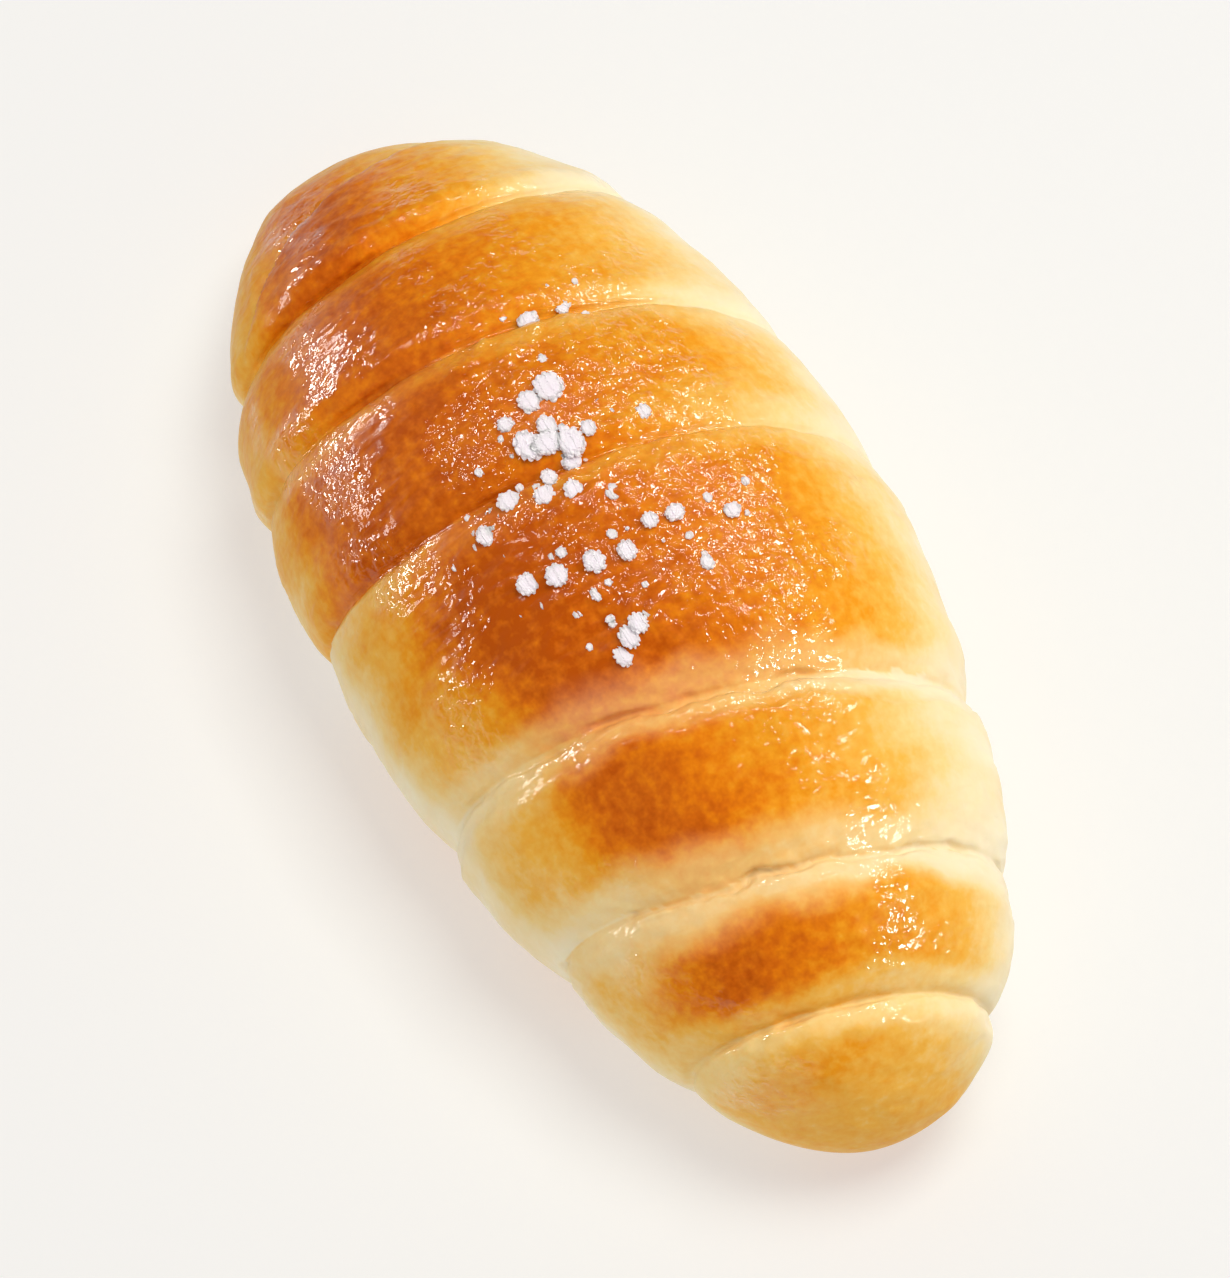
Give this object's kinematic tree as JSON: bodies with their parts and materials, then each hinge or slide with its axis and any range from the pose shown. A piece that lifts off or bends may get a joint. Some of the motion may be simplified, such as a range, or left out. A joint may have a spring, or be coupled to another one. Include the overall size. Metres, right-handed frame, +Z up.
{
  "type": "salt bread roll",
  "caption": "Tapered bread roll wound from a strip of dough, with overlapping turns, a glossy browned crust and coarse salt on its crown; it rests on a flat base.",
  "frame": {"origin": "middle of the loaf's outline, on the plane of its flat base", "axes": "+X along the roll towards its narrower end, +Y towards the far flank, +Z up through the salted crown"},
  "size_m": [0.1326, 0.0631, 0.0479],
  "materials": {
    "crust": null
  },
  "bodies": {
    "root": {"salt_bread_roll": "crust"}
  },
  "joints": []
}
